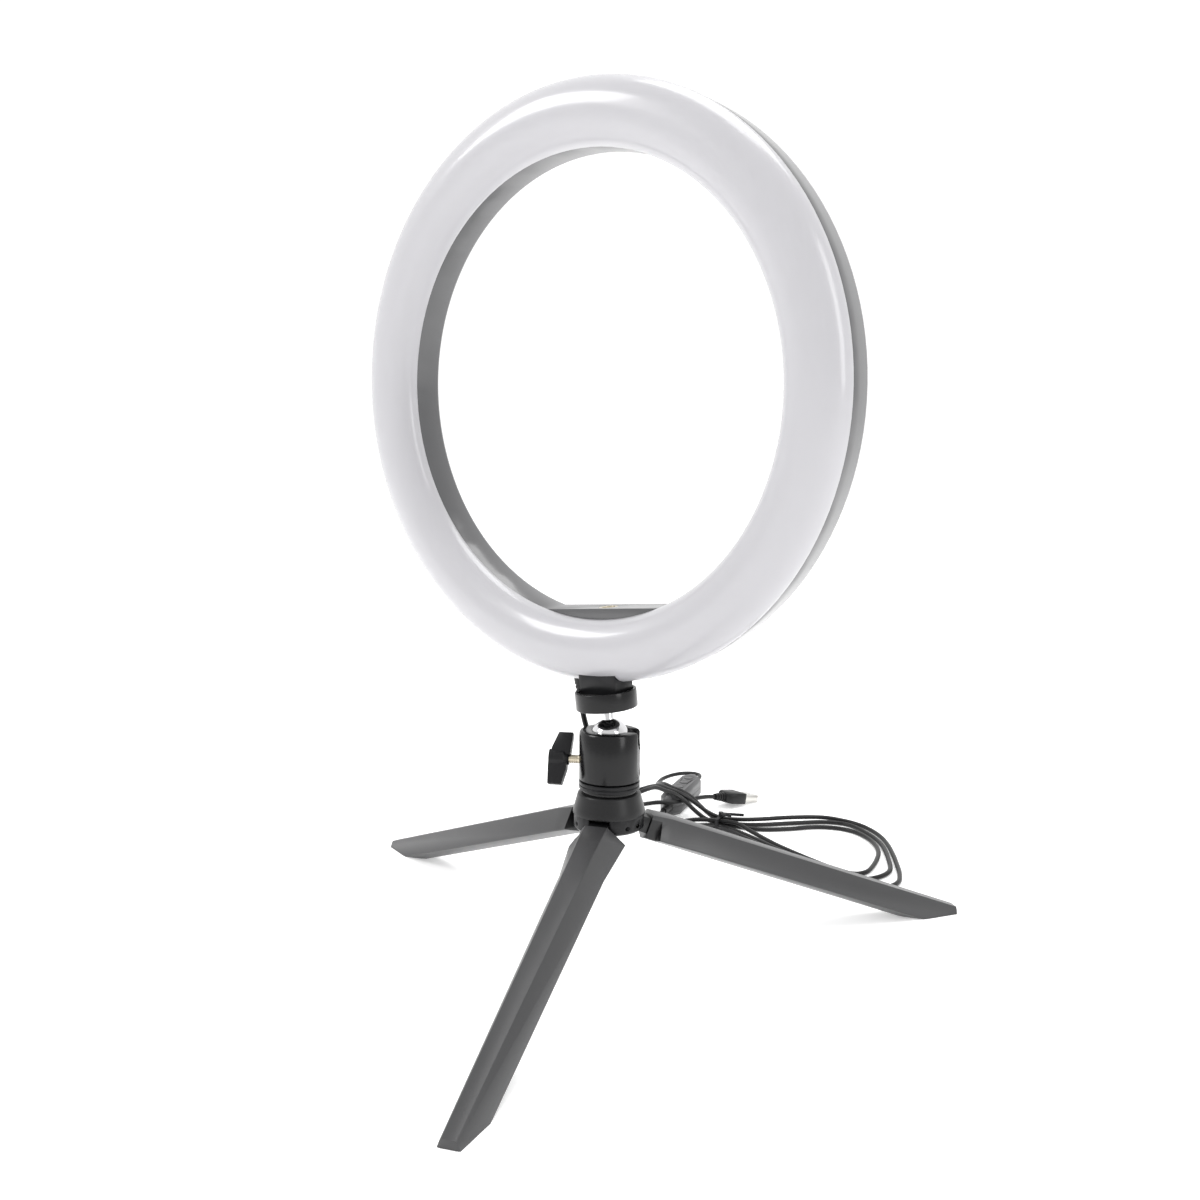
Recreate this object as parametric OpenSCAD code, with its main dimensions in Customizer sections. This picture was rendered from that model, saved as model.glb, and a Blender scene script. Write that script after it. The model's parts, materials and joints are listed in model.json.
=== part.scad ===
// Ring light on a ball head and a folding mini tripod, with its USB lead.
// Millimetres, +Z up.  The light faces -Y, and the tripod stands on z = 0.

/* [Light] */
// Outer diameter of the ring
ring_d = 260; // [200:1:300]
// Inner diameter of the ring
ring_hole_d = 203.4; // [150:0.2:220]
// Depth of the rear housing behind the seam
housing_depth = 16; // [12:0.5:24]
// Height of the diffuser's bulge in front of the seam
bulge = 11; // [6:0.5:14]
// Wall thickness of the housing
wall = 2; // [1.2:0.1:3]
// LEDs in each of the two rows
leds_per_row = 36; // [12:1:60]
// Screws in the back of the housing
back_screws = 8; // [4:1:12]

/* [Ball head] */
// Outer diameter of the ball head's body
head_d = 27.8; // [24:0.1:30]
// Diameter of the ball
ball_d = 17.6; // [16:0.1:18]
// Diameter of the round plate under the light
plate_d = 28.1; // [26:0.1:32]
// Lean of the light from upright
lean = 6; // [0:0.5:20]
// Direction of the clamp knob, from +X
knob_direction = 210; // [180:1:240]
// Turn of the knob's wings about its screw
knob_turn = 25; // [0:1:90]

/* [Tripod] */
// Height of the hub's top face above the floor
hub_top_z = 70.5; // [60:0.5:80]
// Slope of a spread leg
leg_slope = 20; // [15:0.5:25]
// Reach of a leg from the hub's axis
leg_reach = 176; // [140:1:200]
// Half width of a leg along its middle
leg_half_w = 10; // [8:0.1:12]
// Direction of the front leg, from +X
front_leg_direction = -70; // [-90:0.1:-30]

/* [Lead] */
// Diameter of the USB lead
lead_d = 2.6; // [2:0.1:4]
// Length of the in-line controller
controller_l = 58; // [50:1:90]
// Width of the in-line controller
controller_w = 14; // [14:0.5:24]
// Thickness of the in-line controller
controller_h = 13; // [12:0.5:18]

/* [Hidden] */
$fn = 64;

// colours
milky = [0.93, 0.92, 0.94];
dark = [0.16, 0.16, 0.17];
grey = [0.32, 0.32, 0.33];
black = [0.06, 0.06, 0.065];
steel = [0.75, 0.75, 0.77];
brass = [0.78, 0.62, 0.34];

// light
ring_r = ring_d / 2;
hole_r = ring_hole_d / 2;
mid_r = (ring_r + hole_r) / 2;
half_w = (ring_r - hole_r) / 2;
seam_y = 2;               // the seam lies this far behind the stem's axis
ring_z = 155.3;           // ring centre above the ball's centre
rear_round = 2.4;         // rounding of the housing's rear edges
rear_taper = 0.8;         // the rim is this much smaller at the back
diffuser_wall = 1.6;
skirt = 4;                // length of the diffuser's lips inside the housing
board_y = 9;              // front face of the circuit board behind the seam
board_t = 1.6;
post_r = 2.6;
platform_z = 96.8;        // platform below the ring's centre
insert_r = 4.4;
thread_r = 3.175;         // 1/4"-20
insert_y = 6;             // phone-holder hole behind the seam
block_half_w = 10.2;
block_front = 5.6;
block_back = 7;
block_bottom = 20.7;
gland_x = -18;
gland_y = 4.5;
gland_bottom = 17;

// ball head, heights above the floor
head_r = head_d / 2;
ball_r = ball_d / 2;
ball_z = hub_top_z + 25;
head_top = ball_z + 3.5;
head_bottom = hub_top_z + 5.6;
neck_r = 2.45;
plate_r = plate_d / 2;
plate_bottom = 13.6;      // above the ball's centre, along the stem
plate_top = 22;
plate_recess_r = 12.7;
pad_bottom = 19.5;
clamp_z = ball_z - 10.8;
clamp_r = 2;
slot_w = 8.8;
slot_bottom = ball_z - 5.2;
seat_clear = 0.1;

// tripod
hub_r = 16.5;
carrier_r = 16;
carrier_bottom = hub_top_z - 16.5;
carrier_top = hub_top_z - 9.5;
pivot_r = 10.5;
pivot_z = hub_top_z - 13.5;
pin_r = 1;
eye_r = 3.6;
tongue_half_w = 4.5;
slot_clear = 0.2;
leg_angles = [for (k = [0:2]) front_leg_direction + 120 * k];
leg_start = 7.4;          // inner end of a leg's body, from its pivot
leg_l = (leg_reach - pivot_r) / cos(leg_slope);
leg_top = 6.2;            // flat top of a leg above its pivot, square to the leg
leg_edge = -3.7;          // side edges, below the pivot
leg_keel = -7.2;          // keel along the underside

// the origin is under the middle of the standing light's box
light_x_max = ring_r * 0.997 - ring_z * sin(lean) * 0.866;
hub_x = -(leg_reach * cos(leg_angles[2]) + light_x_max) / 2;
hub_y = -(leg_reach * sin(leg_angles[0]) + leg_reach * sin(leg_angles[1])) / 2;

// lead: route points from the hub's axis, chosen by hand
lead_r = lead_d / 2;
riser_top = [
    [-19.48, 3.65, 111], [-19.1, 4.2, 104.6], [-18.9, 6, 98.5], [-18.8, 9, 92.5], [-18.6, 14, 87.5],
    [-18.6, 20.5, 83.5]
];
riser_mid = [
    [-18.6, 20.8, 83.4], [-19, 28, 80], [-20, 35.5, 76.5], [-21.5, 43, 72.5], [-23.9, 50.2, 67.2]
];
riser_low = [
    [-24, 50.5, 67], [-29, 58, 59.5], [-37, 66, 50], [-45, 74, 38.5], [-55, 84, 26],
    [-64, 92, 13.5], [-75, 104.5, 5], [-84, 116, 1.6], [-88, 127, 1.4], [-85, 138, 1.4],
    [-77.5, 148, 1.4], [-67.5, 158.5, 1.4], [-59, 168, 1.3], [-54, 175, 1.3]
];
lobe = [
    [-46, 180], [-28, 186], [-14, 198], [1, 215], [20, 221], [40, 206], [57, 184], [67, 160],
    [66, 147], [50, 143], [22, 151], [-5, 161], [-28, 170]
];
left_arm = [
    [-44, 178], [-60, 170], [-76, 160], [-93, 155.5], [-108, 161], [-120, 174], [-127, 189],
    [-126, 202], [-119, 209]
];
hank_h = 5.4;
lobe_half_w = 8;
arm_half_w = 4.4;
arch = [
    [-119, 209, 4], [-123, 219, 5.6], [-124, 231, 6.8], [-120.5, 241.5, 7], [-114.5, 248, 6.8],
    [-108.4, 248.8, 6.5], [-105.2, 245, 6.5], [-103.4, 239.3, 6.5]
];
tail = [
    [-80.6, 164.7, 6.5], [-78.9, 159, 6.9], [-78.6, 152, 7.2], [-82.4, 144.5, 6.2], [-90.5, 139.5, 3.6],
    [-100, 141, 1.5], [-109, 148, 4], [-114, 159, 6.8], [-114, 171, 8], [-109, 182, 11],
    [-100, 188, 14.6], [-90, 186, 14.9], [-80, 183, 14.9], [-70, 181.5, 12.2], [-61, 181.5, 7.8],
    [-53, 181.5, 4.5]
];
loop = [
    [-119, 209, 4], [-113, 203, 8], [-106, 195, 12.5], [-97, 185.5, 14.8], [-88, 182, 14.9],
    [-79, 179, 14.6], [-70, 178, 12], [-61, 178.5, 7.6], [-53, 179, 4.5]
];
to_plug = [
    [-103, 161, 6.7], [-93, 161.5, 8.6], [-85, 165.5, 10.8], [-78.5, 172, 10.8],
    [-74.6, 181, 10.6], [-72.6, 190.5, 10.4], [-70.7, 199, 9.5], [-69.07, 205.65, 8.3]
];
controller_at = [-92, 202];
controller_direction = 107;
plug_at = [-61.2, 238.2, 2.4];  // middle of the plug's open end
plug_direction = 76.4;
plug_pitch = 10;
tie_at = [-48, 178];
tie_direction = 15;

function unit(v) = v / norm(v);
function tangent(p, i) = unit(p[min(i + 1, len(p) - 1)] - p[max(i - 1, 0)]);
function side_of(p, i) = let (t = tangent(p, i)) [-t[1], t[0]];
function arc(cx, cy, r, from, to, steps) = [
    for (i = [0:steps]) let (a = from + (to - from) * i / steps) [cx + r * cos(a), cy + r * sin(a)]
];

// ---- places ----

module at_hub() translate([hub_x, hub_y, 0]) children();

// frame of the light: origin at the ball's centre, +Z up the stem
module on_stem() at_hub() translate([0, 0, ball_z])
    rotate(a = lean, v = [-sin(knob_direction), cos(knob_direction), 0]) children();

// frame of the ring: origin at its centre in the seam plane, +Z to the back
module in_ring() on_stem() translate([0, seam_y, ring_z]) rotate([-90, 0, 0]) children();

// along the clamp screw: origin on the head's axis, +Z outward through the knob
module along_clamp() at_hub() translate([0, 0, clamp_z]) rotate([0, 0, knob_direction])
    rotate([0, 90, 0]) children();

// frame of a leg: origin at its pivot, +X down along the spread leg
module at_leg(k) at_hub() rotate([0, 0, leg_angles[k]]) translate([pivot_r, 0, pivot_z])
    rotate([0, leg_slope, 0]) children();

// frame of the controller: origin on the floor under its middle, +X to the far end
module at_controller() at_hub() translate([controller_at[0], controller_at[1], 0])
    rotate([0, 0, controller_direction]) children();

// frame of the plug: origin at its open end, +X out of the open end
module at_plug() at_hub() translate(plug_at) rotate([0, plug_pitch, plug_direction]) children();

// ---- shared shapes ----

// tube of eight sides along a route; ref is any direction that the route never follows
module tube(p, r, ref) {
    n = len(p);
    sides = 8;
    points = [
        for (i = [0:n - 1])
            let (t = tangent(p, i), s = unit(cross(t, ref)), u = cross(s, t))
            for (k = [0:sides - 1]) p[i] + r * (cos(360 * k / sides) * s + sin(360 * k / sides) * u)
    ];
    walls = [
        for (i = [0:n - 2]) for (k = [0:sides - 1])
            let (a = i * sides + k, b = i * sides + (k + 1) % sides) [a, b, b + sides, a + sides]
    ];
    first = [for (k = [sides - 1:-1:0]) k];
    last = [for (k = [0:sides - 1]) (n - 1) * sides + k];
    polyhedron(points = points, faces = concat([first], walls, [last]), convexity = 6);
}

// flat strip of even width along an open route
module strip(p, w) {
    last = len(p) - 1;
    polygon(concat(
        [for (i = [0:last]) p[i] + w * side_of(p, i)],
        [for (i = [last:-1:0]) p[i] - w * side_of(p, i)]
    ));
}

// flat strip of even width round a closed route
module closed_strip(p, w) {
    n = len(p);
    normals = [
        for (i = [0:n - 1]) let (t = unit(p[(i + 1) % n] - p[(i + n - 1) % n])) [-t[1], t[0]]
    ];
    difference() {
        polygon([for (i = [0:n - 1]) p[i] + w * normals[i]]);
        polygon([for (i = [0:n - 1]) p[i] - w * normals[i]]);
    }
}

// cylinder along +Z of the frame, between two heights
module rod(r, from, to) translate([0, 0, from]) cylinder(r = r, h = to - from);

// cone along +Z of the frame, between two heights
module taper(r_from, r_to, from, to) translate([0, 0, from])
    cylinder(r1 = r_from, r2 = r_to, h = to - from);

// box centred on x and y, between two heights
module slab(x, y, from, to) translate([-x / 2, -y / 2, from]) cube([x, y, to - from]);

module around_ring(count, r, start) {
    for (i = [0:count - 1]) rotate([0, 0, start + 360 * i / count]) translate([r, 0, 0]) children();
}

// ---- light ----

module diffuser_section(shrink) {
    a = half_w - shrink;
    b = bulge - shrink;
    polygon([for (i = [0:28]) let (t = 180 + 180 * i / 28) [mid_r + a * cos(t), b * sin(t)]]);
}

module diffuser() color(milky) in_ring() difference() {
    union() {
        rotate_extrude($fn = 180) difference() {
            diffuser_section(0);
            diffuser_section(diffuser_wall);
        }
        rotate_extrude($fn = 180) {
            translate([hole_r + wall + 0.05, -1.4]) square([diffuser_wall, skirt + 1.4]);
            translate([hole_r + 0.5, -1.4]) square([wall + 1, 1.4]);
            translate([ring_r - wall - 0.35 - diffuser_wall, -1.4]) square([diffuser_wall, skirt + 1.4]);
            translate([ring_r - wall - 1.5, -1.4]) square([wall + 1, 1.4]);
        }
        around_ring(back_screws, mid_r, 22.5) rod(post_r, -bulge + 1.2, board_y);
    }
    around_ring(back_screws, mid_r, 22.5) rod(1.15, board_y - 8, board_y + 1);
    // notch in the outer lip for the lead's gland
    translate([gland_x, 0, gland_y - seam_y]) rotate([-90, 0, 0]) rod(2.6, ring_r - 8, ring_r);
}

module housing_outline(inset) {
    r = rear_round;
    inner = hole_r + inset;
    outer = ring_r - inset;
    back = housing_depth - inset;
    polygon(concat(
        [[inner, inset > 0 ? -1 : 0]],
        arc(inner + r, back - r, r, 180, 90, 6),
        arc(outer - rear_taper - r, back - r, r, 90, 0, 6),
        [[outer, inset > 0 ? -1 : 0]]
    ));
}

module rear_housing() color(dark) in_ring() difference() {
    union() {
        rotate_extrude($fn = 180) difference() {
            housing_outline(0);
            housing_outline(wall);
        }
        // platform for a phone holder across the bottom of the inner wall
        difference() {
            intersection() {
                rod(hole_r + 0.5, 0, housing_depth - 0.6);
                translate([-60, platform_z, 0]) cube([120, 20, housing_depth]);
            }
        }
        // bosses that stand the board off the back
        around_ring(back_screws, mid_r, 22.5) rod(3.4, board_y + board_t, housing_depth - 1);
    }
    around_ring(back_screws, mid_r, 22.5) rod(1.5, 0, housing_depth + 1);
    around_ring(back_screws, mid_r, 22.5) rod(2.6, housing_depth - 2.2, housing_depth + 1);
    // holes for the threaded insert and for the lead's gland
    translate([0, 0, insert_y]) rotate([-90, 0, 0]) rod(insert_r, platform_z - 1, hole_r + wall + 1);
    translate([gland_x, 0, gland_y - seam_y]) rotate([-90, 0, 0]) rod(2.4, ring_r - 6, ring_r + 6);
}

module led_board() color([0.9, 0.9, 0.88]) in_ring() difference() {
    rod(ring_r - wall - 1.6, board_y, board_y + board_t, $fn = 180);
    rod(hole_r + wall + 1.2, board_y - 1, board_y + board_t + 1, $fn = 180);
    around_ring(back_screws, mid_r, 22.5) rod(1.5, 0, housing_depth);
}

module leds() color([0.95, 0.85, 0.45]) in_ring() {
    for (row = [-1, 1])
        around_ring(leds_per_row, mid_r + row * 6, 2.5 + row * 2.5) slab(2.8, 3.5, board_y - 0.8, board_y);
}

module led_wires() color([0.7, 0.1, 0.08]) in_ring() {
    for (side = [-1, 1]) translate([gland_x + side, 0, gland_y - seam_y]) {
        rotate([-90, 0, 0]) rod(0.6, ring_r - 12, ring_r - 5.6, $fn = 16);
        translate([0, ring_r - 12, 0]) {
            sphere(r = 0.6, $fn = 16);
            rod(0.6, 0, board_y - gland_y + seam_y, $fn = 16);
        }
    }
}

module housing_screws() color(steel) in_ring() around_ring(back_screws, mid_r, 22.5) {
    rod(1.1, board_y - 6, housing_depth - 2.2);
    difference() {
        rod(2.4, housing_depth - 2.2, housing_depth - 0.8);
        slab(2.6, 0.6, housing_depth - 1.5, housing_depth);
        slab(0.6, 2.6, housing_depth - 1.5, housing_depth);
    }
}

module platform_insert() color(brass) in_ring() translate([0, 0, insert_y]) rotate([-90, 0, 0])
    difference() {
        rod(insert_r, platform_z, hole_r + wall - 0.2);
        rod(thread_r, platform_z - 1, hole_r + wall + 1);
    }

// foot under the ring; its top follows the ring's lower face
module connector_block() color(dark) on_stem() difference() {
    translate([-block_half_w, -block_front, block_bottom])
        cube([2 * block_half_w, block_front + block_back, 14]);
    translate([0, seam_y, ring_z]) rotate([-90, 0, 0]) {
        rotate_extrude($fn = 180) union() {
            translate([mid_r - half_w, 0]) square([2 * half_w + 0.05, 30]);
            polygon([for (i = [0:28]) let (t = 180 + 180 * i / 28)
                [mid_r + (half_w + 0.05) * cos(t), (bulge + 0.05) * sin(t)]]);
        }
        rod(mid_r, -30, 30);
    }
    rod(4.2, block_bottom - 1, ring_z - ring_r - 0.4);
}

module connector_insert() color(brass) on_stem() difference() {
    rod(4.2, block_bottom + 0.1, ring_z - ring_r - 0.5);
    rod(thread_r, block_bottom - 1, ring_z - ring_r + 1);
}

// strain relief of the lead, pushed into the housing's rim
module cable_gland() color(black) on_stem() translate([gland_x, gland_y, 0]) difference() {
    union() {
        taper(1.9, 2.6, gland_bottom, ring_z - ring_r + 1);
        rod(2.35, ring_z - ring_r + 1, ring_z - ring_r + 5.4);
    }
    rod(lead_r + 0.05, gland_bottom - 1, 40);
    for (i = [0:2]) translate([0, 0, gland_bottom + 1.4 + 2 * i]) difference() {
        rod(4, 0, 0.7);
        rod(1.7 + 0.13 * i, -1, 2);
    }
}

// ---- ball and stem ----

module ball_and_stem() color(steel) on_stem() {
    sphere(r = ball_r);
    rod(neck_r, ball_r - 1, plate_bottom + 2.4);
}

module top_plate() color(black) on_stem() difference() {
    union() {
        rotate_extrude() polygon(concat(
            [[0, plate_bottom], [plate_r - 1.2, plate_bottom]],
            arc(plate_r - 0.8, plate_bottom + 0.8, 0.8, -60, 0, 3),
            arc(plate_r - 0.4, plate_top - 0.4, 0.4, 0, 90, 3),
            [[0, plate_top]]
        ));
    }
    rod(plate_recess_r, pad_bottom, plate_top + 1);
    rod(neck_r, plate_bottom - 1, plate_bottom + 2.4);
    rod(thread_r, plate_bottom + 2.4, plate_top + 1);
}

module plate_pad() color([0.1, 0.1, 0.1]) on_stem() difference() {
    rod(plate_recess_r - 0.1, pad_bottom, block_bottom);
    rod(thread_r + 0.2, pad_bottom - 1, block_bottom + 1);
}

module thread_stud() color(steel) on_stem() rod(thread_r - 0.05, plate_bottom + 2.4, ring_z - ring_r - 0.8);

// ---- ball head ----

module head_body() color(black) at_hub() difference() {
    rotate_extrude() polygon([
        [0, head_bottom], [head_r - 0.6, head_bottom], [head_r, head_bottom + 0.6],
        [head_r, head_top - 1.2], [head_r - 0.5, head_top - 0.3], [head_r - 1.4, head_top], [0, head_top]
    ]);
    // socket of the ball above the bore of its seat
    rotate_extrude() polygon(concat(
        [[0, head_bottom + 3.4], [ball_r + 0.2, head_bottom + 3.4]],
        arc(0, ball_z, ball_r + 0.2, 0, 30, 8),
        [[0, ball_z + (ball_r + 0.2) / 2]]
    ));
    // side slot that lets the stem drop
    rotate([0, 0, knob_direction - 180]) {
        rotate([90, 0, 90]) linear_extrude(height = head_r + 1) polygon(concat(
            arc(0, slot_bottom + slot_w / 2, slot_w / 2, 180, 360, 12),
            [[slot_w / 2, head_top + 2], [-slot_w / 2, head_top + 2]]
        ));
        translate([0, 0, head_bottom + 4.3]) rotate([0, 90, 0]) rod(2.2, 0, head_r + 1);
    }
    // threaded holes for the clamp screw and for the hub's stud
    translate([0, 0, clamp_z]) rotate([0, 0, knob_direction]) rotate([0, 90, 0])
        rod(clamp_r + 0.05, 0, head_r + 1);
    rod(thread_r, head_bottom - 1, head_bottom + 5);
}

module ball_seat() color([0.86, 0.86, 0.82]) at_hub() difference() {
    rod(ball_r + 0.05, head_bottom + 3.6, ball_z - 2.5);
    translate([0, 0, ball_z]) sphere(r = ball_r + 0.05);
    // dimples for the clamp screw and for the stop screw
    rotate([0, 0, knob_direction]) translate([0, 0, clamp_z]) rotate([0, 90, 0])
        rod(clamp_r + 0.2, 4.6, ball_r + 1);
    rotate([0, 0, knob_direction - 180]) translate([0, 0, head_bottom + 4.3]) rotate([0, 90, 0])
        rod(2.2, ball_r - 2, ball_r + 1);
    rod(thread_r + 0.2, head_bottom, head_bottom + 5.2);
}

// headless screw that keeps the seat from turning
module seat_screw() color(black) at_hub() rotate([0, 0, knob_direction - 180])
    translate([0, 0, head_bottom + 4.3]) rotate([0, 90, 0]) difference() {
        rod(2.15, ball_r - 1.8, head_r - 1.6);
        rod(1.1, head_r - 3.4, head_r, $fn = 6);
    }

module collar_band() color([0.1, 0.1, 0.105]) at_hub() difference() {
    rod(head_r, hub_top_z + 1.9, hub_top_z + 5.3);
    rod(9.2, hub_top_z + 1, hub_top_z + 6);
    translate([0, 0, hub_top_z + 3.4]) difference() {
        rod(head_r + 1, 0, 0.4);
        rod(head_r - 0.35, -1, 2);
    }
}

module head_base() color(black) at_hub() difference() {
    union() {
        rod(12.6, hub_top_z + 0.05, hub_top_z + 1.8);
        rod(9.1, hub_top_z + 1.8, head_bottom - 0.05);
    }
    rod(thread_r, hub_top_z - 1, head_bottom + 1);
}

module clamp_screw() color(brass) along_clamp() difference() {
    union() {
        taper(1.1, clamp_r, 4.7, 5.6);
        rod(clamp_r, 5.6, head_r + 8);
    }
    for (i = [0:4]) translate([0, 0, head_r + 0.5 + 0.9 * i]) difference() {
        rod(clamp_r + 1, 0, 0.4);
        rod(clamp_r - 0.3, -1, 2);
    }
}

module clamp_knob() color(black) along_clamp() rotate([0, 0, knob_turn]) difference() {
    union() {
        taper(2.7, 4.2, head_r + 4.6, head_r + 7);
        rod(4.2, head_r + 7, head_r + 13.7);
        for (side = [-1, 1]) hull() {
            translate([side * 3, 0, head_r + 9 + side * 0.6]) cube([3, 6, 8.4], center = true);
            translate([side * 10.6, 0, head_r + 8.5 + side * 1.9]) cube([2.4, 4.6, 6.4], center = true);
        }
    }
    rod(clamp_r, head_r, head_r + 8);
}

// ---- tripod ----

module hub_top() color(black) at_hub() difference() {
    rotate_extrude() polygon(concat(
        [[0, carrier_top], [hub_r, carrier_top], [hub_r, carrier_top + 1]],
        arc(head_r - 0.6, hub_top_z - 1.2, 1.2, 12, 90, 5),
        [[0, hub_top_z]]
    ));
    rod(thread_r, carrier_top - 1, hub_top_z + 1);
    for (k = [0:2]) rotate([0, 0, leg_angles[k] + 60]) translate([9, 0, 0])
        rod(1.1, carrier_top - 1, carrier_top + 6);
}

// block with three forks for the legs
module leg_carrier() color(dark) at_hub() difference() {
    rotate_extrude() polygon([
        [0, carrier_bottom], [carrier_r - 1, carrier_bottom], [carrier_r, carrier_bottom + 1],
        [carrier_r, carrier_top], [0, carrier_top]
    ]);
    for (k = [0:2]) rotate([0, 0, leg_angles[k]]) {
        translate([pivot_r - eye_r - slot_clear, -tongue_half_w - slot_clear, carrier_bottom - 1])
            cube([20, 2 * (tongue_half_w + slot_clear), 20]);
        translate([pivot_r, 0, pivot_z]) rotate([90, 0, 0]) cylinder(r = pin_r, h = 40, center = true);
    }
    for (k = [0:2]) rotate([0, 0, leg_angles[k] + 60]) translate([9, 0, 0]) {
        rod(1.4, carrier_bottom - 1, carrier_top + 1);
        rod(2.4, carrier_bottom - 1, carrier_bottom + 2);
    }
    rod(thread_r, carrier_bottom + 1, carrier_top + 1);
}

module hub_stud() color(steel) at_hub() rod(thread_r - 0.03, carrier_bottom + 1, head_bottom + 3.2);

module hub_screws() color(steel) at_hub() for (k = [0:2])
    rotate([0, 0, leg_angles[k] + 60]) translate([9, 0, 0]) difference() {
        union() {
            rod(2.3, carrier_bottom + 0.4, carrier_bottom + 2);
            rod(1.1, carrier_bottom + 2, carrier_top + 5.5);
        }
        slab(2.6, 0.6, carrier_bottom, carrier_bottom + 1.1);
        slab(0.6, 2.6, carrier_bottom, carrier_bottom + 1.1);
    }

// section of a leg at a distance along it: flat top, sloping sides and a low keel
module leg_section(x, edge_w, top_w, top) translate([x, 0, 0]) rotate([90, 0, 90])
    linear_extrude(height = 0.01) polygon([
        [-top_w + 0.5, top], [top_w - 0.5, top], [top_w, top - 0.5],
        [edge_w, leg_edge + 0.6], [edge_w - 0.2, leg_edge], [0, leg_keel],
        [-edge_w + 0.2, leg_edge], [-edge_w, leg_edge + 0.6], [-top_w, top - 0.5]
    ]);

module leg(k) color(grey) at_leg(k) difference() {
    union() {
        hull() {
            leg_section(leg_start, leg_half_w + 2.6, 5.6, leg_top - 0.8);
            leg_section(leg_start + 10, leg_half_w + 1.6, 5.4, leg_top);
        }
        hull() {
            leg_section(leg_start + 10, leg_half_w + 1.6, 5.4, leg_top);
            leg_section(leg_start + 25, leg_half_w, 5, leg_top);
        }
        hull() {
            leg_section(leg_start + 25, leg_half_w, 5, leg_top);
            leg_section(leg_l + 4, leg_half_w - 3.4, 3, leg_top);
        }
        // tongue with the hinge eye
        rotate([90, 0, 0]) cylinder(r = eye_r, h = 2 * tongue_half_w, center = true);
        translate([0, -tongue_half_w, -eye_r]) cube([leg_start + 2, 2 * tongue_half_w, 2 * eye_r]);
    }
    rotate([90, 0, 0]) cylinder(r = pin_r + 0.04, h = 40, center = true);
    // recess under the skin of one side, flat foot on the floor and rounded end
    translate([leg_start - 1, -30, leg_keel - 1])
        cube([6, 30 - leg_half_w + 3.2, leg_top - 2.4 - leg_keel + 1]);
    rotate([0, -leg_slope, 0]) translate([0, -30, -pivot_z - 60]) cube([260, 60, 60]);
    foot_nose();
}

// rounds the end of a leg off to the reach of the tripod
module foot_nose() rotate([0, -leg_slope, 0]) difference() {
    translate([leg_reach - pivot_r - 12, -30, -80]) cube([60, 60, 80]);
    hull() {
        for (side = [-1, 1]) {
            translate([leg_reach - pivot_r - 4, side * 2.8, -90]) cylinder(r = 4, h = 120, $fn = 32);
            translate([leg_reach - pivot_r - 15, side * 8, -90]) cylinder(r = 3, h = 120, $fn = 32);
        }
    }
}

module hinge_pin(k) color(steel) at_leg(k) rotate([90, 0, 0]) cylinder(r = pin_r, h = 15.6, center = true);

module leg_front() leg(0);
module leg_right() leg(1);
module leg_left() leg(2);
module pin_front() hinge_pin(0);
module pin_right() hinge_pin(1);
module pin_left() hinge_pin(2);

// ---- lead ----

module lead_riser_top() color(black) at_hub() tube(riser_top, lead_r, [1, 0, 0]);
module lead_riser_mid() color(black) at_hub() tube(riser_mid, lead_r, [1, 0, 0]);
module lead_riser_low() color(black) at_hub() tube(riser_low, lead_r, [0, 0.3, 1]);
module lead_arch() color(black) at_hub() tube(arch, lead_r, [0, 0, 1]);
module lead_tail() color(black) at_hub() tube(tail, lead_r, [0, 0, 1]);
module lead_loop() color(black) at_hub() tube(loop, lead_r, [0, 0, 1]);
module lead_to_plug() color(black) at_hub() tube(to_plug, lead_r, [0, 0, 1]);

// the wound part of the lead, pinched by the tie
module lead_hank() color(black) at_hub() linear_extrude(height = hank_h) {
    closed_strip(lobe, lobe_half_w);
    strip(left_arm, arm_half_w);
}

module controller_outline(inset) {
    l = controller_l / 2 - inset;
    w = controller_w / 2 - inset;
    polygon([
        [-l, -w + 4], [-l + 7, -w], [l - 7, -w], [l, -w + 4],
        [l, w - 4], [l - 7, w], [-l + 7, w], [-l, w - 4]
    ]);
}

module controller_half(bottom, top, edge_z, inset) hull() {
    translate([0, 0, bottom]) linear_extrude(height = top - bottom) controller_outline(inset + 1.6);
    translate([0, 0, min(edge_z, controller_h / 2)])
        linear_extrude(height = abs(edge_z - controller_h / 2)) controller_outline(inset);
}

module lead_holes() for (side = [-1, 1]) translate([side * controller_l / 2, 0, controller_h / 2])
    rotate([0, 90, 0]) cylinder(r = 2.2, h = 8, center = true);

module controller_base() color(grey) at_controller() difference() {
    controller_half(0, controller_h / 2, 2.4, 0);
    translate([0, 0, 1.5]) linear_extrude(height = 20) controller_outline(2.2);
    lead_holes();
}

module controller_cover() color(grey) at_controller() difference() {
    controller_half(controller_h / 2, controller_h, controller_h - 2.4, 0);
    translate([0, 0, -1]) linear_extrude(height = controller_h - 0.5) controller_outline(2.2);
    lead_holes();
    for (i = [0:3]) translate([button_x(i), 0, 0]) rod(2.9, 0, controller_h + 1);
}

function button_x(i) = -16.5 + 11 * i;

module controller_board() color([0.1, 0.35, 0.2]) at_controller() {
    slab(controller_l - 18, controller_w - 5.6, 5.4, 7);
    for (i = [0:3]) translate([button_x(i), 0, 0]) slab(5, 5, 7, 9.6);
    slab(6, 8, 1.5, 5.4);
}

module button(i) color(dark) at_controller() translate([button_x(i), 0, 0]) {
    rod(3.5, 10.3, 11.2);
    rod(2.75, 11.2, controller_h + 0.2);
}

module power_button() button(0);
module colour_button() button(1);
module brighter_button() button(2);
module dimmer_button() button(3);

module controller_boot(side) color(black) at_controller()
    translate([side * (controller_l / 2), 0, controller_h / 2]) rotate([0, side * 90, 0]) difference() {
        union() {
            taper(3, 1.9, 0, 10);
            rod(2.15, -3.2, 0);
        }
        rod(lead_r + 0.05, 9, 11);
    }

module controller_boot_in() controller_boot(1);
module controller_boot_out() controller_boot(-1);

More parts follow.
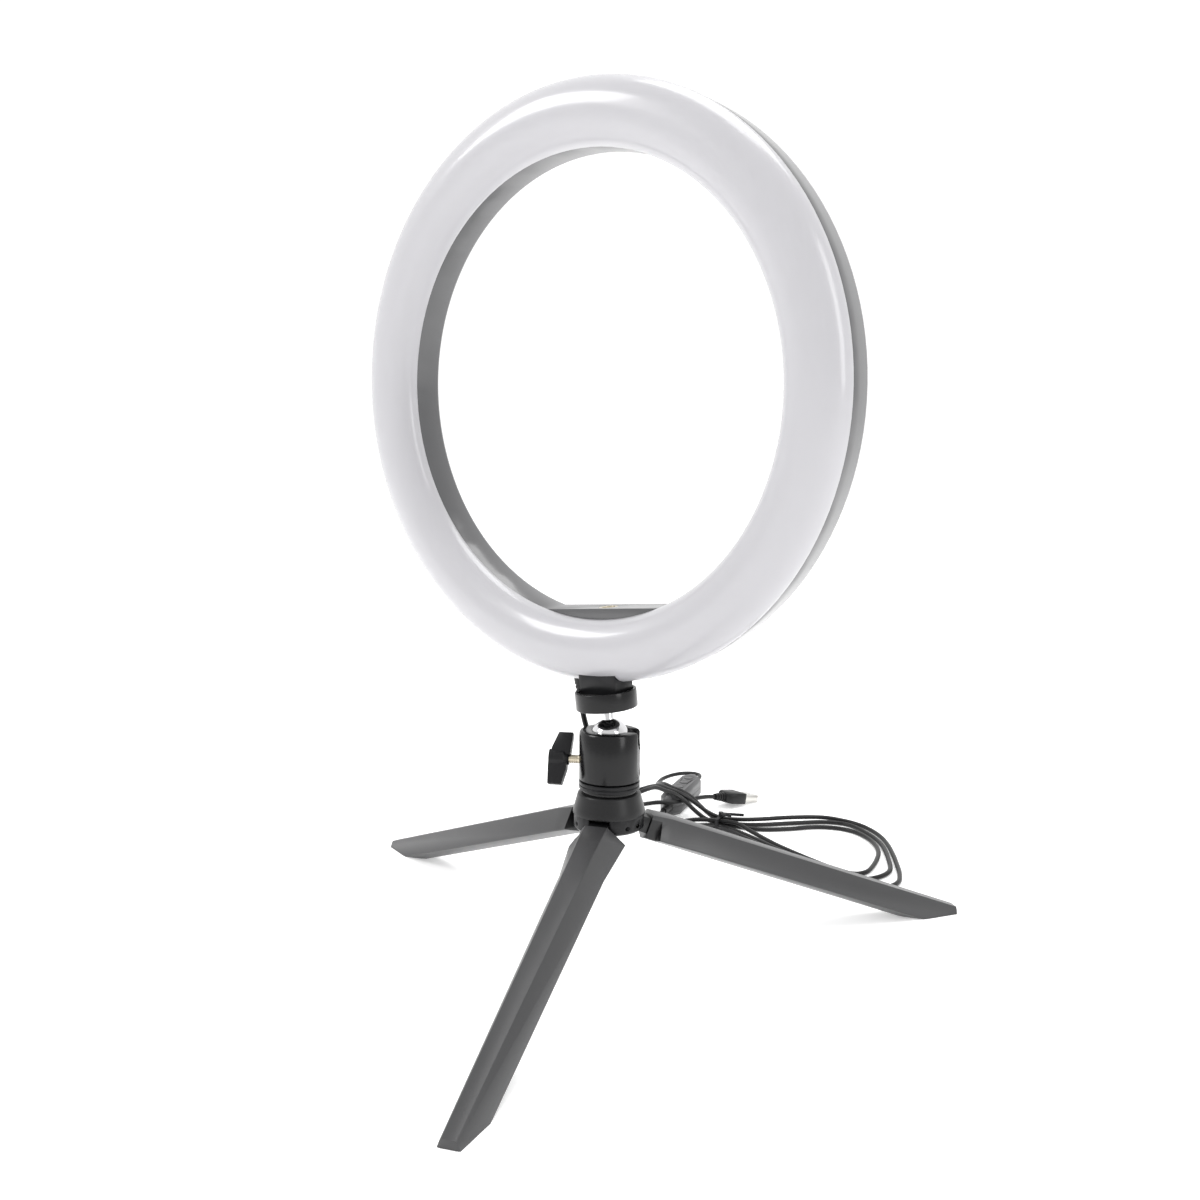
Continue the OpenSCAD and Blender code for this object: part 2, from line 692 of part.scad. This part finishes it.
module plug_body() color(grey) at_plug() difference() {
    hull() {
        translate([-13, 0, 0]) cube([2, 13.6, 6.9], center = true);
        translate([-22, 0, 0]) cube([2, 12.6, 6.9], center = true);
        translate([-26, 0, 0]) cube([2, 7.6, 6], center = true);
    }
    translate([-18, -6.1, -2.35]) cube([12, 12.2, 4.7]);
}

module plug_boot() color(grey) at_plug() rotate([0, -90, 0]) difference() {
    taper(3, 2, 27, 34);
    for (i = [0:2]) translate([0, 0, 28.2 + 1.9 * i]) difference() {
        rod(4, 0, 0.8);
        rod(1.8, -1, 2);
    }
    rod(lead_r + 0.05, 33, 35);
}

module plug_shell() color(steel) at_plug() difference() {
    translate([-18, -6, -2.25]) cube([18, 12, 4.5]);
    translate([-17, -5.7, -1.95]) cube([20, 11.4, 3.9]);
    for (side = [-1, 1]) translate([-6.5, side * 2.6, 0]) slab(2.2, 2.2, 0, 5);
}

module plug_tongue() color([0.9, 0.9, 0.9]) at_plug() translate([-17, -5.5, -1.9])
    cube([15.5, 11, 1.9]);

// wire tie round the waist of the wound lead, with two loose ends
module twist_tie() color(black) at_hub() translate([tie_at[0], tie_at[1], 0])
    rotate([0, 0, tie_direction]) {
        difference() {
            translate([-1.1, -8, 0]) cube([2.2, 16, 6.6]);
            translate([-3, -7.4, 0.5]) cube([6, 14.8, 5.5]);
        }
        translate([0, 1, 6.4]) cylinder(r = 1.4, h = 2.4);
        translate([0, 1.4, 7.6]) rotate([0, 88, 5]) slab(1.6, 0.9, 0, 14);
        translate([0, 0.6, 7.8]) rotate([0, 78, -50]) slab(1.6, 0.9, 0, 15);
    }

diffuser();
rear_housing();
led_board();
leds();
led_wires();
housing_screws();
platform_insert();
connector_block();
connector_insert();
cable_gland();
ball_and_stem();
top_plate();
plate_pad();
thread_stud();
head_body();
ball_seat();
seat_screw();
collar_band();
head_base();
clamp_screw();
clamp_knob();
hub_top();
leg_carrier();
hub_stud();
hub_screws();
leg_front();
leg_right();
leg_left();
pin_front();
pin_right();
pin_left();
lead_riser_top();
lead_riser_mid();
lead_riser_low();
lead_hank();
lead_arch();
lead_tail();
lead_loop();
lead_to_plug();
controller_base();
controller_cover();
controller_board();
power_button();
colour_button();
brighter_button();
dimmer_button();
controller_boot_in();
controller_boot_out();
plug_body();
plug_boot();
plug_shell();
plug_tongue();
twist_tie();
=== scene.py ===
import json
import math

import bpy
import numpy as np
from mathutils import Matrix, Vector


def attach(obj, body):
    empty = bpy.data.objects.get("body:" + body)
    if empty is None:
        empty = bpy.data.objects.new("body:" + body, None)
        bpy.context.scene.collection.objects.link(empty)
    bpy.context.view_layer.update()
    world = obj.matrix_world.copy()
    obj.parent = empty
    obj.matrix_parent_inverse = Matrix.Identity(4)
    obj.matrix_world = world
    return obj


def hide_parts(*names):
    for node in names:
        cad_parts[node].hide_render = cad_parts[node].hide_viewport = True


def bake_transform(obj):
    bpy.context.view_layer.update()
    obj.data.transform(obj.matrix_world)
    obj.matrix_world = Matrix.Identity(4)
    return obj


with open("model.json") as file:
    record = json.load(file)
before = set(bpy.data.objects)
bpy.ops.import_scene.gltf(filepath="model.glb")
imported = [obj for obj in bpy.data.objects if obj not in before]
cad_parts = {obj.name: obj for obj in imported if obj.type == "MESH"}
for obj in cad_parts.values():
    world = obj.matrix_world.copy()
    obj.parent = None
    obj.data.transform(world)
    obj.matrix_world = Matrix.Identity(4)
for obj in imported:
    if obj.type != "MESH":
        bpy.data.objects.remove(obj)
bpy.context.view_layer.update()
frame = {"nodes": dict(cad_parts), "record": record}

# lengths are in millimetres and angles in degrees, unless a comment says otherwise
MM = 0.001
HUB = np.array((28.887, 15.281, 0.0))   # axis of the tripod's hub
LEG_SLOPE = 20
LEG_PIVOT = (10.5, 57.0)                # from the hub's axis, and above the floor
LEG_DIRECTIONS = {"leg_front": -70, "leg_right": 50, "leg_left": 170}
BUTTONS = ("power_button", "colour_button", "brighter_button", "dimmer_button")

# ---- camera ----

CAMERA_PLACE = (0.3398, -0.4038, 0.2205)        # in metres
CAMERA_TURNS = {"Z": 37.14, "X": -6.83, "Y": -0.64}
CAMERA_LENS = 35.3


def place_camera():
    data = bpy.data.cameras.new("camera")
    data.lens = CAMERA_LENS
    data.sensor_width = 36
    camera = bpy.data.objects.new("camera", data)
    bpy.context.scene.collection.objects.link(camera)
    turn = Matrix()
    for axis, degrees in CAMERA_TURNS.items():
        turn = turn @ Matrix.Rotation(math.radians(degrees), 4, axis)
    level = turn @ Matrix.Rotation(math.radians(90), 4, "X")
    camera.matrix_world = Matrix.Translation(CAMERA_PLACE) @ level
    bpy.context.scene.camera = camera


place_camera()

# ---- lead: route points from the hub's axis ----

LEAD_D = 2.6
FLOOR_GAP = 0.02
RISER_TOP = [
    (-19.48, 3.65, 111), (-19.1, 4.2, 104.6), (-18.9, 6, 98.5), (-18.8, 9, 92.5),
    (-18.6, 14, 87.5), (-18.6, 20.5, 83.5),
]
RISER_MID = [(-19, 28, 80), (-20, 35.5, 76.5), (-21.5, 43, 72.5), (-24, 50.5, 67)]
RISER_LOW = [
    (-29, 58, 59.5), (-37, 66, 50), (-45, 74, 38.5), (-55, 84, 26), (-64, 92, 13.5),
    (-75, 104.5, 5), (-84, 116, 1.6),
]
# light side: along the floor, once round the right lobe, over the controller and into its far end
LIGHT_SIDE = [
    (-88, 127, 1.4), (-85, 138, 1.4), (-77.5, 148, 1.4), (-67.5, 158.5, 1.4), (-58, 167, 1.4),
    (-47.6, 174.8, 1.4), (-37, 173.5, 1.4), (-24, 169.5, 1.4), (-3, 161, 1.4), (18, 153.2, 1.4),
    (37, 147, 1.4), (52, 144, 1.4), (61, 145.5, 1.4), (65.3, 152, 1.4), (66.5, 164.5, 1.4),
    (57.5, 184, 1.4), (43, 206, 1.4), (28, 219, 1.4), (12, 226.5, 1.4), (0, 222.5, 1.4),
    (-14, 208.5, 1.4), (-28, 193, 1.4), (-38, 185.5, 1.4), (-49.1, 182.06, 1.4), (-57.5, 182.5, 4),
    (-65, 182.3, 8.5), (-72, 182.5, 13), (-80, 184, 14.9), (-89, 187, 14.9), (-98, 191.5, 14.6),
    (-107, 198.5, 11.5), (-114, 207, 8), (-119.5, 216, 6.4), (-122.5, 226, 6.4),
    (-121.8, 236, 6.8), (-118.5, 243.6, 7), (-113.6, 248.6, 6.8), (-108.6, 249, 6.6),
    (-105.2, 244.9, 6.5), (-103.4, 239.3, 6.5),
]
# plug side: from the controller's near end, twice round both lobes, and out to the plug
PLUG_SIDE = [
    (-80.6, 164.7, 6.5), (-78.9, 159.1, 6.5), (-77.2, 153.8, 6.4), (-73.2, 149.3, 5),
    (-67.5, 148, 3.4), (-61.5, 151, 1.8), (-56.5, 157.5, 1.4), (-52.5, 165.5, 1.4),
    (-45.9, 171.2, 1.4), (-36, 170, 1.4), (-24, 165.5, 1.4), (-3, 157, 1.4), (18, 149.4, 1.4),
    (38, 142.8, 1.4), (55, 138.6, 1.4), (67, 138, 1.4), (75.3, 142.5, 1.4), (77, 151.5, 1.4),
    (73, 163.5, 1.4), (66, 176.5, 1.4), (57.5, 191, 1.4), (48, 205.5, 1.4), (38.5, 217, 1.4),
    (27.5, 226, 1.4), (18, 230.6, 1.4), (9, 231, 1.8), (-2.5, 226.5, 2.8), (-17, 211, 3.8),
    (-30, 194.5, 4.1), (-39, 186, 4.2), (-48.9, 181.5, 4.3), (-57, 179.2, 6.6),
    (-64.5, 178.4, 10.3), (-72, 178.4, 13.6), (-80, 179.8, 15), (-89, 182.6, 15),
    (-98, 186.5, 14.6), (-107.5, 191, 11.5), (-117, 194, 7.4), (-124.5, 192, 4), (-128, 185.5, 2),
    (-127, 176.5, 1.4), (-121, 167, 1.4), (-110.5, 159.5, 1.4), (-97, 156, 1.4), (-83, 157.5, 1.4),
    (-70, 163, 2.2), (-59, 169.5, 4.2), (-47.3, 176, 4.3), (-37, 178.6, 4), (-25, 174.8, 2.6),
    (-4, 166, 1.4), (17, 157.6, 1.4), (34, 151.8, 1.4), (46, 148.6, 1.4), (53.5, 149.6, 1.4),
    (57, 155, 1.4), (56, 167, 1.4), (49, 190, 1.4), (40, 203.5, 1.4), (31, 211.5, 1.4),
    (22, 216, 1.4), (13.5, 216.5, 1.4), (5, 213.5, 1.4), (-2, 208, 1.4), (-11, 196.5, 1.4),
    (-24, 184.5, 1.4), (-37, 180.6, 1.4), (-48.4, 179.1, 1.4), (-57, 175.8, 3.6),
    (-64.5, 174.4, 8), (-72, 174.4, 12.8), (-80, 175.6, 15), (-89, 178.2, 15), (-98, 181.5, 14.4),
    (-106.5, 184, 11), (-113.5, 183.5, 7.5), (-117.5, 178.5, 5.4), (-117, 171, 4.8),
    (-112, 164.5, 5.4), (-104, 161.5, 6.9), (-94.5, 161.6, 8.8), (-85.5, 165.3, 10.8),
    (-78.2, 171.3, 10.9), (-74.2, 180.5, 10.7), (-72.4, 190, 10.4), (-70.75, 199, 9.5),
    (-69.07, 205.65, 8.3),
]


def smooth_route(points, step=1.2):
    """Dense points of a centripetal spline, in metres, and where the route points are in them."""
    p = np.array(points, float)
    ends = np.vstack([2 * p[0] - p[1], p, 2 * p[-1] - p[-2]])
    dense = []
    marks = []
    for i in range(len(p) - 1):
        four = ends[i:i + 4]
        spans = np.linalg.norm(np.diff(four, axis=0), axis=1)
        t = np.concatenate([[0], np.cumsum(spans ** 0.5)])
        count = max(2, math.ceil(np.linalg.norm(four[2] - four[1]) / step))
        marks.append(len(dense))
        for u in t[1] + (t[2] - t[1]) * np.arange(count) / count:
            level = list(four)
            for span in (1, 2):
                level = [
                    ((t[k + span] - u) * level[k] + (u - t[k]) * level[k + 1])
                    / (t[k + span] - t[k])
                    for k in range(len(level) - 1)
                ]
            dense.append(((t[2] - u) * level[0] + (u - t[1]) * level[1]) / (t[2] - t[1]))
    marks.append(len(dense))
    dense.append(p[-1])
    dense = np.array(dense)
    dense[:, 2] = np.maximum(dense[:, 2], LEAD_D / 2 + FLOOR_GAP)
    return (dense + HUB) * MM, marks


def new_mesh(name, points, faces):
    mesh = bpy.data.meshes.new(name)
    mesh.from_pydata([tuple(p) for p in points], [], faces)
    mesh.update()
    mesh.shade_smooth()
    piece = bpy.data.objects.new(name, mesh)
    bpy.context.scene.collection.objects.link(piece)
    return piece


def tube(name, path, radius, sides=12):
    """Round tube along a dense path, with closed ends; its rings don't twist."""
    steps = np.gradient(path, axis=0)
    steps /= np.linalg.norm(steps, axis=1)[:, None]
    not_along = (0.3, 0.2, 1.0)
    across = np.cross(steps[0], not_along)
    points = []
    for centre, along in zip(path, steps):
        across = across - along * np.dot(across, along)
        across /= np.linalg.norm(across)
        up = np.cross(along, across)
        for k in range(sides):
            a = 2 * math.pi * k / sides
            points.append(centre + radius * (math.cos(a) * across + math.sin(a) * up))
    faces = []
    for i in range(len(path) - 1):
        for k in range(sides):
            a = i * sides + k
            b = i * sides + (k + 1) % sides
            faces.append((a, b, b + sides, a + sides))
    faces.append(tuple(range(sides - 1, -1, -1)))
    faces.append(tuple(len(points) - sides + k for k in range(sides)))
    return new_mesh(name, points, faces)


def lead_stretch(name, path):
    piece = tube(name, path, LEAD_D / 2 * MM)
    return piece


def make_lead():
    route = RISER_TOP + RISER_MID + RISER_LOW + LIGHT_SIDE
    path, marks = smooth_route(route)
    at_ball = marks[len(RISER_TOP) - 1]
    at_head = marks[len(RISER_TOP + RISER_MID) - 1]
    at_floor = marks[len(RISER_TOP + RISER_MID + RISER_LOW) - 1]
    top = lead_stretch("lead_from_light", path[:at_ball + 1])
    mid = lead_stretch("lead_behind_head", path[at_ball:at_head + 1])
    low = lead_stretch("lead_down_to_floor", path[at_head:at_floor + 1])
    wound = lead_stretch("lead_light_side", path[at_floor:])
    plug_path, _ = smooth_route(PLUG_SIDE)
    plug_side = lead_stretch("lead_plug_side", plug_path)
    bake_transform(top)
    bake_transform(mid)
    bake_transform(low)
    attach(wound, "base")
    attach(plug_side, "base")
    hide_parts("lead_riser_top")
    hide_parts("lead_riser_mid")
    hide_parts("lead_riser_low")
    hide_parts("lead_hank", "lead_arch")
    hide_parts("lead_tail", "lead_loop", "lead_to_plug")
    return [top, mid, low, wound, plug_side]


lead = make_lead()

# ---- materials ----

LEG_COLOUR = (0.043, 0.043, 0.0445)
# black of the leg's tongue, also used as painted shade in the hollow under the root
ROOT_AND_SHADE_COLOUR = (0.006, 0.006, 0.0065)
LEG_ROOT = 7.5                  # a leg is black nearer to its pivot than this
LEG_PAINTED_SHADE = (12.5, -6, 3.9)    # and painted shade is black below all three of these, measured in the leg's own frame


def shader(name, colour, roughness, metallic=0.0, specular=0.5):
    material = bpy.data.materials.new(name)
    material.use_nodes = True
    surface = material.node_tree.nodes["Principled BSDF"]
    surface.inputs["Base Color"].default_value = (*colour, 1)
    surface.inputs["Roughness"].default_value = roughness
    surface.inputs["Metallic"].default_value = metallic
    surface.inputs["Specular IOR Level"].default_value = specular
    return material, surface


def noise(material, scale, detail=4.0):
    nodes = material.node_tree.nodes
    links = material.node_tree.links
    place = nodes.new("ShaderNodeTexCoord")
    texture = nodes.new("ShaderNodeTexNoise")
    texture.inputs["Scale"].default_value = scale
    texture.inputs["Detail"].default_value = detail
    links.new(place.outputs["Object"], texture.inputs["Vector"])
    return texture


def vary(material, surface, colour, roughness, scale, change, rough_change):
    """Slow mottling of the colour and of the roughness."""
    nodes = material.node_tree.nodes
    links = material.node_tree.links
    texture = noise(material, scale)
    mix = nodes.new("ShaderNodeMix")
    mix.data_type = "RGBA"
    mix.inputs["A"].default_value = (*[c * (1 - change) for c in colour], 1)
    mix.inputs["B"].default_value = (*[min(1, c * (1 + change)) for c in colour], 1)
    links.new(texture.outputs["Fac"], mix.inputs["Factor"])
    links.new(mix.outputs["Result"], surface.inputs["Base Color"])
    spread = nodes.new("ShaderNodeMapRange")
    spread.inputs["To Min"].default_value = roughness - rough_change
    spread.inputs["To Max"].default_value = roughness + rough_change
    links.new(texture.outputs["Fac"], spread.inputs["Value"])
    links.new(spread.outputs["Result"], surface.inputs["Roughness"])


def grain(material, surface, scale, height):
    """Fine moulded texture as a bump."""
    nodes = material.node_tree.nodes
    links = material.node_tree.links
    texture = noise(material, scale, 2.0)
    bump = nodes.new("ShaderNodeBump")
    bump.inputs["Strength"].default_value = height
    bump.inputs["Distance"].default_value = 0.1 * MM
    links.new(texture.outputs["Fac"], bump.inputs["Height"])
    links.new(bump.outputs["Normal"], surface.inputs["Normal"])


def plastic(name, colour, roughness, texture_scale=2500, texture_height=0.15, change=0.06,
            specular=0.5):
    material, surface = shader(name, colour, roughness, specular=specular)
    vary(material, surface, colour, roughness, scale=40, change=change, rough_change=0.04)
    grain(material, surface, texture_scale, texture_height)
    return material


def glossy_plastic(name, colour, roughness):
    """Moulded plastic under a clear gloss, which brightens at a grazing angle."""
    material = plastic(name, colour, roughness)
    surface = material.node_tree.nodes["Principled BSDF"]
    surface.inputs["Coat Weight"].default_value = 0.7
    surface.inputs["Coat Roughness"].default_value = 0.16
    return material


def milky_plastic():
    """Diffuser: light sinks into it a little under a soft gloss."""
    colour = (0.46, 0.455, 0.475)
    roughness = 0.3
    material, surface = shader("milky_plastic", colour, roughness)
    surface.inputs["Subsurface Weight"].default_value = 0.25
    surface.inputs["Subsurface Radius"].default_value = (1, 1, 1)
    surface.inputs["Subsurface Scale"].default_value = 4 * MM
    surface.inputs["Coat Weight"].default_value = 0.5
    surface.inputs["Coat Roughness"].default_value = 0.1
    vary(material, surface, colour, roughness, scale=12, change=0.01, rough_change=0.03)
    return material


def gloss_black():
    """Smooth black anodising of the ball head."""
    colour = (0.004, 0.004, 0.0045)
    roughness = 0.24
    material, surface = shader("gloss_black", colour, roughness, specular=0.25)
    surface.inputs["Coat Weight"].default_value = 0.15
    surface.inputs["Coat Roughness"].default_value = 0.12
    vary(material, surface, colour, roughness, scale=60, change=0.1, rough_change=0.03)
    return material


def leg_plastic(name, pivot, direction):
    """Grey leg with a black tongue, and black painted shade in the hollow under the skin of one
    side of its root.
    """
    material = plastic(name, LEG_COLOUR, 0.34, 3000, 0.2)
    nodes = material.node_tree.nodes
    links = material.node_tree.links
    surface = nodes["Principled BSDF"]
    place = nodes.new("ShaderNodeTexCoord")
    in_leg = nodes.new("ShaderNodeMapping")
    in_leg.vector_type = "TEXTURE"
    in_leg.inputs["Location"].default_value = pivot
    in_leg.inputs["Rotation"].default_value = (0, math.radians(LEG_SLOPE), math.radians(direction))
    links.new(place.outputs["Object"], in_leg.inputs["Vector"])
    split = nodes.new("ShaderNodeSeparateXYZ")
    links.new(in_leg.outputs["Vector"], split.inputs["Vector"])

    def below(axis, limit):
        test = nodes.new("ShaderNodeMath")
        test.operation = "LESS_THAN"
        links.new(split.outputs[axis], test.inputs[0])
        test.inputs[1].default_value = limit * MM
        return test.outputs["Value"]

    def combine(operation, a, b):
        both = nodes.new("ShaderNodeMath")
        both.operation = operation
        links.new(a, both.inputs[0])
        links.new(b, both.inputs[1])
        return both.outputs["Value"]

    # painted shade: a box in the leg's frame, under one side of the root, turned black
    along, across, up = LEG_PAINTED_SHADE
    beside = combine("MULTIPLY", below("Y", across), below("Z", up))
    painted_recess_shade = combine("MULTIPLY", below("X", along), beside)
    # black tongue near the pivot, plus the painted shade in the hollow
    black = combine("MAXIMUM", below("X", LEG_ROOT), painted_recess_shade)
    mix = nodes.new("ShaderNodeMix")
    mix.data_type = "RGBA"
    mix.inputs["B"].default_value = (*ROOT_AND_SHADE_COLOUR, 1)
    links.new(black, mix.inputs["Factor"])
    links.new(surface.inputs["Base Color"].links[0].from_socket, mix.inputs["A"])
    links.new(mix.outputs["Result"], surface.inputs["Base Color"])
    return material


def metal(name, colour, roughness):
    material, surface = shader(name, colour, roughness, metallic=1.0)
    vary(material, surface, colour, roughness, scale=300, change=0.05, rough_change=0.04)
    return material


MATERIALS = {
    "milky_plastic": milky_plastic(),
    "black_plastic": plastic("black_plastic", (0.009, 0.009, 0.01), 0.34, specular=0.25),
    "circuit_board": plastic("circuit_board", (0.75, 0.75, 0.73), 0.4),
    "led_package": plastic("led_package", (0.8, 0.6, 0.15), 0.35),
    "wire_red": plastic("wire_red", (0.5, 0.03, 0.02), 0.4),
    "steel": metal("steel", (0.62, 0.61, 0.58), 0.3),
    "brass": metal("brass", (0.6, 0.54, 0.42), 0.32),
    "black_anodised": gloss_black(),
    "collar_black": plastic("collar_black", (0.006, 0.006, 0.007), 0.32, specular=0.25),
    "chrome_ball": metal("chrome_ball", (0.75, 0.75, 0.76), 0.08),
    "black_rubber": plastic("black_rubber", (0.012, 0.012, 0.012), 0.55, 1800, 0.3),
    "white_nylon": plastic("white_nylon", (0.7, 0.7, 0.66), 0.45),
    "grey_plastic": plastic("grey_plastic", (0.05, 0.05, 0.052), 0.36, 3000, 0.2),
    "dark_grey_plastic": plastic("dark_grey_plastic", (0.011, 0.011, 0.0115), 0.36, specular=0.3),
    "black_pvc": plastic("black_pvc", (0.01, 0.01, 0.0105), 0.36, 1500, 0.1, specular=0.3),
    "green_board": plastic("green_board", (0.02, 0.15, 0.06), 0.4),
}

# ---- finish of the CAD nodes ----

WELD_GAP = 0.01
SHARP_ANGLE = 32
# widths of the rounded edges; a node that isn't named has the plain width
PLAIN_EDGE = 0.1
SOFT_EDGES = {
    "leg_front": 0.5, "leg_right": 0.5, "leg_left": 0.5, "clamp_knob": 0.5, "head_body": 0.25,
    "connector_block": 0.5, "controller_base": 0.5, "controller_cover": 0.6, "plug_body": 0.6,
    "hub_top": 0.3, "leg_carrier": 0.3, "rear_housing": 0.25, "top_plate": 0.2, "plug_shell": 0.12,
}


def finish_node(node, width):
    """Welds the node's split corners, and rounds its edges."""
    node.data.shade_smooth()
    weld = node.modifiers.new("weld", "WELD")
    weld.merge_threshold = WELD_GAP * MM
    edges = node.modifiers.new("edges", "BEVEL")
    edges.limit_method = "ANGLE"
    edges.angle_limit = math.radians(SHARP_ANGLE)
    edges.width = width * MM
    edges.segments = 2
    edges.harden_normals = True


def leg_pivot(direction):
    """Where a leg's hinge is, in metres."""
    a = math.radians(direction)
    reach, height = LEG_PIVOT
    along_x = HUB[0] + reach * math.cos(a)
    along_y = HUB[1] + reach * math.sin(a)
    return tuple(MM * c for c in (along_x, along_y, height))


SLOT_OF = {s["node"]: s["material_slot"] for s in frame["record"]["subparts"]}
# nodes that look different from the others in their slot
OWN_MATERIAL = {
    leg: leg_plastic(leg + "_plastic", leg_pivot(a), a) for leg, a in LEG_DIRECTIONS.items()
}
OWN_MATERIAL["rear_housing"] = glossy_plastic("housing_plastic", (0.075, 0.075, 0.078), 0.3)
for button in BUTTONS:
    OWN_MATERIAL[button] = MATERIALS["grey_plastic"]
for name, node in frame["nodes"].items():
    if node.hide_render:
        continue
    node.data.materials.clear()
    node.data.materials.append(OWN_MATERIAL.get(name) or MATERIALS[SLOT_OF[name]])
    finish_node(node, SOFT_EDGES.get(name, PLAIN_EDGE))
for piece in lead:
    piece.data.materials.append(MATERIALS["black_pvc"])

# ---- floor and light, in metres ----

FLOOR_REACH = 6.0
FLOOR_GLOW = 0.35
BRIGHT_SIDE = (-0.596, 0.803, 0.0)      # nearly the way the camera looks
SURROUNDINGS = (0.82, 1.1)              # strength away from the bright side, and toward it
SWEEP = (-0.2, 0.6)                     # cosines to the bright side between which it changes
LIGHT_TARGET = (0.02, 0.0, 0.2)
# place, width, height, power in watts
SOFTBOXES = {
    "key": ((-0.9, -0.9, 1.1), 0.6, 0.6, 10),
    "fill": ((1.3, -0.1, 0.7), 0.4, 1.0, 5),
    "top": ((0.1, 0.3, 1.4), 0.8, 0.8, 8),
}


def make_floor():
    """White floor that glows a little, so that it comes out white."""
    a = FLOOR_REACH
    floor = new_mesh("floor", [(-a, -a, 0), (a, -a, 0), (a, a, 0), (-a, a, 0)], [(0, 1, 2, 3)])
    material, surface = shader("floor", (0.9, 0.9, 0.9), 0.8, specular=0.1)
    surface.inputs["Emission Color"].default_value = (1, 1, 1, 1)
    surface.inputs["Emission Strength"].default_value = FLOOR_GLOW
    floor.data.materials.append(material)


def softbox(name, place, width, height, power):
    data = bpy.data.lights.new(name, "AREA")
    data.shape = "RECTANGLE"
    data.size = width
    data.size_y = height
    data.energy = power
    light = bpy.data.objects.new(name, data)
    light.location = place
    ray = Vector(LIGHT_TARGET) - Vector(place)
    light.rotation_euler = ray.to_track_quat("-Z", "Y").to_euler()
    bpy.context.scene.collection.objects.link(light)


def world_sweep(world):
    """White surroundings that fall off softly away from the bright side."""
    nodes = world.node_tree.nodes
    links = world.node_tree.links
    place = nodes.new("ShaderNodeTexCoord")
    facing = nodes.new("ShaderNodeVectorMath")
    facing.operation = "DOT_PRODUCT"
    facing.inputs[1].default_value = BRIGHT_SIDE
    links.new(place.outputs["Generated"], facing.inputs[0])
    spread = nodes.new("ShaderNodeMapRange")
    spread.interpolation_type = "SMOOTHSTEP"
    spread.inputs["From Min"].default_value = SWEEP[0]
    spread.inputs["From Max"].default_value = SWEEP[1]
    spread.inputs["To Min"].default_value = SURROUNDINGS[0]
    spread.inputs["To Max"].default_value = SURROUNDINGS[1]
    links.new(facing.outputs["Value"], spread.inputs["Value"])
    links.new(spread.outputs["Result"], nodes["Background"].inputs["Strength"])


def light_scene():
    """Soft white studio, shown without a film-like tone curve."""
    world = bpy.data.worlds.new("world")
    bpy.context.scene.world = world
    world.use_nodes = True
    world.node_tree.nodes["Background"].inputs["Color"].default_value = (1, 1, 1, 1)
    world_sweep(world)
    for name, values in SOFTBOXES.items():
        softbox(name, *values)
    bpy.context.scene.view_settings.view_transform = "Standard"


make_floor()
light_scene()
